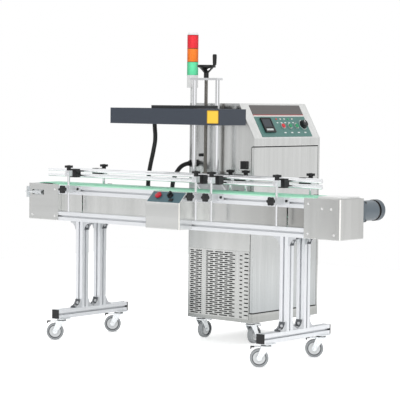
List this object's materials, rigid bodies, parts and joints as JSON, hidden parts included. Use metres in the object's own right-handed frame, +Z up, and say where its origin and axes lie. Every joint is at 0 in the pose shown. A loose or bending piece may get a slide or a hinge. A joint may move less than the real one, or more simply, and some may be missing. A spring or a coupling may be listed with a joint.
{
  "type": "induction cap sealer",
  "caption": "Induction cap sealer: stainless cabinet with a height-adjustable sealing head over a belt conveyor with guide rails, both on casters.",
  "frame": {"origin": "middle of the outline on the floor", "axes": "+X along the conveyor towards its drive end, +Y from the conveyor to the cabinet, +Z up"},
  "size_m": [1.757, 0.976, 1.371],
  "materials": {
    "aluminium_profile": "satin anodised",
    "stainless_sheet": "brushed",
    "edge_strip_green": "moulded",
    "belt_green": "matte",
    "roller_steel": "turned",
    "steel_zinc": "zinc plated",
    "motor_paint": "satin",
    "cast_aluminium": "die cast",
    "red_plastic": "gloss",
    "green_plastic": "gloss",
    "black_plastic": "moulded",
    "grey_plastic": "moulded",
    "panel_film": "printed film",
    "chrome_rod": "polished",
    "head_aluminium": "satin anodised",
    "head_paint": "satin",
    "lens_green": "clear",
    "lens_orange": "clear",
    "lens_red": "clear",
    "hose_rubber": "corrugated",
    "caster_rubber": "matte"
  },
  "bodies": {
    "machine_frame": {"frame_beams": "aluminium_profile", "side_panels": "stainless_sheet", "belt_bed": "edge_strip_green", "belt": "belt_green", "tail_box": "stainless_sheet", "drive_box": "stainless_sheet", "roller_bearings": "steel_zinc", "gear_motor": "motor_paint", "frame_screws": "steel_zinc", "leg_frames": "aluminium_profile", "corner_brackets": "cast_aluminium", "control_box": "stainless_sheet", "caster_plates": "steel_zinc", "post_brackets": "black_plastic", "cabinet_shell": "stainless_sheet", "grille_panel": "stainless_sheet", "service_panel": "stainless_sheet", "control_panel": "panel_film", "guide_column": "chrome_rod", "tower_base": "grey_plastic", "tower_lens_green": "lens_green", "tower_lens_orange": "lens_orange", "tower_lens_red": "lens_red", "hose": "hose_rubber", "cabinet_fittings": "black_plastic"},
    "head": {"carriage": "head_aluminium", "sealing_head": "head_paint"},
    "crank": {"lead_screw": "roller_steel", "handwheel": "black_plastic"},
    "crank_handle": {"crank_grip": "black_plastic"},
    "drive_drum": {"drive_roller": "roller_steel"},
    "tail_drum": {"tail_roller": "roller_steel"},
    "conveyor_swivel_1": {"conveyor_fork_1": "steel_zinc"},
    "conveyor_roll_1": {"conveyor_wheel_1": "caster_rubber"},
    "conveyor_swivel_2": {"conveyor_fork_2": "steel_zinc"},
    "conveyor_roll_2": {"conveyor_wheel_2": "caster_rubber"},
    "conveyor_swivel_3": {"conveyor_fork_3": "steel_zinc"},
    "conveyor_roll_3": {"conveyor_wheel_3": "caster_rubber"},
    "conveyor_swivel_4": {"conveyor_fork_4": "steel_zinc"},
    "conveyor_roll_4": {"conveyor_wheel_4": "caster_rubber"},
    "cabinet_swivel_1": {"cabinet_fork_1": "steel_zinc"},
    "cabinet_roll_1": {"cabinet_wheel_1": "caster_rubber"},
    "cabinet_swivel_2": {"cabinet_fork_2": "steel_zinc"},
    "cabinet_roll_2": {"cabinet_wheel_2": "caster_rubber"},
    "cabinet_roll_3": {"cabinet_wheel_3": "caster_rubber"},
    "cabinet_roll_4": {"cabinet_wheel_4": "caster_rubber"},
    "front_tail_post_pair": {"front_tail_posts": "chrome_rod"},
    "front_tail_rail_pair": {"front_tail_rails": "chrome_rod"},
    "front_drive_post_pair": {"front_drive_posts": "chrome_rod"},
    "front_drive_rail_pair": {"front_drive_rails": "chrome_rod"},
    "back_tail_post_pair": {"back_tail_posts": "chrome_rod"},
    "back_tail_rail_pair": {"back_tail_rails": "chrome_rod"},
    "back_drive_post_pair": {"back_drive_posts": "chrome_rod"},
    "back_drive_rail_pair": {"back_drive_rails": "chrome_rod"},
    "stop_key": {"stop_push_button": "red_plastic"},
    "start_key": {"start_push_button": "green_plastic"},
    "reset_key": {"reset_push_button": "green_plastic"},
    "power_dial": {"power_knob": "black_plastic"},
    "emergency_key": {"stop_button": "red_plastic"},
    "speed_dial": {"speed_knob": "black_plastic"}
  },
  "joints": [
    {"name": "head_lift", "type": "slide", "parent": "machine_frame", "child": "head", "axis": [0, 0, 1], "range_m": [-0.18, 0.08], "deforming": ["hose"]},
    {"name": "crank_turn", "type": "hinge", "parent": "machine_frame", "child": "crank", "pos_m": [-0.0445, -0.05416, 1.157], "axis": [0, 0, 1], "range_deg": [-6000, 13200]},
    {"name": "grip_spin", "type": "hinge", "parent": "crank", "child": "crank_handle", "pos_m": [-0.01692, -0.03102, 1.243], "axis": [0, 0, 1], "continuous": true},
    {"name": "drive_roller_turn", "type": "hinge", "parent": "machine_frame", "child": "drive_drum", "pos_m": [0.8115, -0.24916, 0.643], "axis": [0, 1, 0], "continuous": true},
    {"name": "tail_roller_turn", "type": "hinge", "parent": "machine_frame", "child": "tail_drum", "pos_m": [-0.8055, -0.24916, 0.643], "axis": [0, 1, 0], "continuous": true},
    {"name": "conveyor_swivel_turn_1", "type": "hinge", "parent": "machine_frame", "child": "conveyor_swivel_1", "pos_m": [0.6005, -0.43716, 0.09], "axis": [0, 0, 1], "continuous": true},
    {"name": "conveyor_wheel_turn_1", "type": "hinge", "parent": "conveyor_swivel_1", "child": "conveyor_roll_1", "pos_m": [0.57905, -0.45516, 0.0375], "axis": [-0.6428, 0.766, 0], "continuous": true},
    {"name": "conveyor_swivel_turn_2", "type": "hinge", "parent": "machine_frame", "child": "conveyor_swivel_2", "pos_m": [0.6005, -0.06116, 0.09], "axis": [0, 0, 1], "continuous": true},
    {"name": "conveyor_wheel_turn_2", "type": "hinge", "parent": "conveyor_swivel_2", "child": "conveyor_roll_2", "pos_m": [0.57905, -0.07916, 0.0375], "axis": [-0.6428, 0.766, 0], "continuous": true},
    {"name": "conveyor_swivel_turn_3", "type": "hinge", "parent": "machine_frame", "child": "conveyor_swivel_3", "pos_m": [-0.5465, -0.43716, 0.09], "axis": [0, 0, 1], "continuous": true},
    {"name": "conveyor_wheel_turn_3", "type": "hinge", "parent": "conveyor_swivel_3", "child": "conveyor_roll_3", "pos_m": [-0.56795, -0.45516, 0.0375], "axis": [-0.6428, 0.766, 0], "continuous": true},
    {"name": "conveyor_swivel_turn_4", "type": "hinge", "parent": "machine_frame", "child": "conveyor_swivel_4", "pos_m": [-0.5465, -0.06116, 0.09], "axis": [0, 0, 1], "continuous": true},
    {"name": "conveyor_wheel_turn_4", "type": "hinge", "parent": "conveyor_swivel_4", "child": "conveyor_roll_4", "pos_m": [-0.56795, -0.07916, 0.0375], "axis": [-0.6428, 0.766, 0], "continuous": true},
    {"name": "cabinet_swivel_turn_1", "type": "hinge", "parent": "machine_frame", "child": "cabinet_swivel_1", "pos_m": [-0.1445, 0.04784, 0.09], "axis": [0, 0, 1], "continuous": true},
    {"name": "cabinet_wheel_turn_1", "type": "hinge", "parent": "cabinet_swivel_1", "child": "cabinet_roll_1", "pos_m": [-0.1445, 0.07584, 0.0375], "axis": [1, 0, 0], "continuous": true},
    {"name": "cabinet_swivel_turn_2", "type": "hinge", "parent": "machine_frame", "child": "cabinet_swivel_2", "pos_m": [0.1395, 0.04784, 0.09], "axis": [0, 0, 1], "continuous": true},
    {"name": "cabinet_wheel_turn_2", "type": "hinge", "parent": "cabinet_swivel_2", "child": "cabinet_roll_2", "pos_m": [0.1395, 0.07584, 0.0375], "axis": [1, 0, 0], "continuous": true},
    {"name": "cabinet_wheel_turn_3", "type": "hinge", "parent": "machine_frame", "child": "cabinet_roll_3", "pos_m": [-0.1445, 0.43084, 0.0375], "axis": [1, 0, 0], "continuous": true},
    {"name": "cabinet_wheel_turn_4", "type": "hinge", "parent": "machine_frame", "child": "cabinet_roll_4", "pos_m": [0.1395, 0.43084, 0.0375], "axis": [1, 0, 0], "continuous": true},
    {"name": "front_tail_height", "type": "slide", "parent": "machine_frame", "child": "front_tail_post_pair", "axis": [0, 0, 1], "range_m": [-0.02, 0.025]},
    {"name": "front_tail_reach", "type": "slide", "parent": "front_tail_post_pair", "child": "front_tail_rail_pair", "axis": [0, 1, 0], "range_m": [-0.01, 0.022]},
    {"name": "front_drive_height", "type": "slide", "parent": "machine_frame", "child": "front_drive_post_pair", "axis": [0, 0, 1], "range_m": [-0.02, 0.025]},
    {"name": "front_drive_reach", "type": "slide", "parent": "front_drive_post_pair", "child": "front_drive_rail_pair", "axis": [0, 1, 0], "range_m": [-0.01, 0.022]},
    {"name": "back_tail_height", "type": "slide", "parent": "machine_frame", "child": "back_tail_post_pair", "axis": [0, 0, 1], "range_m": [-0.02, 0.025]},
    {"name": "back_tail_reach", "type": "slide", "parent": "back_tail_post_pair", "child": "back_tail_rail_pair", "axis": [0, -1, 0], "range_m": [-0.01, 0.022]},
    {"name": "back_drive_height", "type": "slide", "parent": "machine_frame", "child": "back_drive_post_pair", "axis": [0, 0, 1], "range_m": [-0.02, 0.025]},
    {"name": "back_drive_reach", "type": "slide", "parent": "back_drive_post_pair", "child": "back_drive_rail_pair", "axis": [0, -1, 0], "range_m": [-0.01, 0.022]},
    {"name": "stop_push", "type": "slide", "parent": "machine_frame", "child": "stop_key", "axis": [-0.8679, 0, -0.4968], "range_m": [0, 0.003], "stiffness_N_per_m": 600},
    {"name": "start_push", "type": "slide", "parent": "machine_frame", "child": "start_key", "axis": [-0.8679, 0, -0.4968], "range_m": [0, 0.003], "stiffness_N_per_m": 600},
    {"name": "reset_push", "type": "slide", "parent": "machine_frame", "child": "reset_key", "axis": [-0.8679, 0, -0.4968], "range_m": [0, 0.003], "stiffness_N_per_m": 600},
    {"name": "power_turn", "type": "hinge", "parent": "machine_frame", "child": "power_dial", "pos_m": [0.14844, 0.40045, 0.96276], "axis": [0.8679, 0, 0.4968], "range_deg": [-150, 150]},
    {"name": "emergency_push", "type": "slide", "parent": "machine_frame", "child": "emergency_key", "axis": [0, 0.6771, -0.7359], "range_m": [0, 0.004], "stiffness_N_per_m": 800},
    {"name": "speed_turn", "type": "hinge", "parent": "machine_frame", "child": "speed_dial", "pos_m": [0.0353, -0.37816, 0.66252], "axis": [0, -0.6771, 0.7359], "range_deg": [-150, 150]}
  ],
  "couplings": [
    {"joint": "crank_turn", "follows": "head_lift", "rad_per_m": -1256.6},
    {"joint": "tail_roller_turn", "follows": "drive_roller_turn", "ratio": 1}
  ]
}
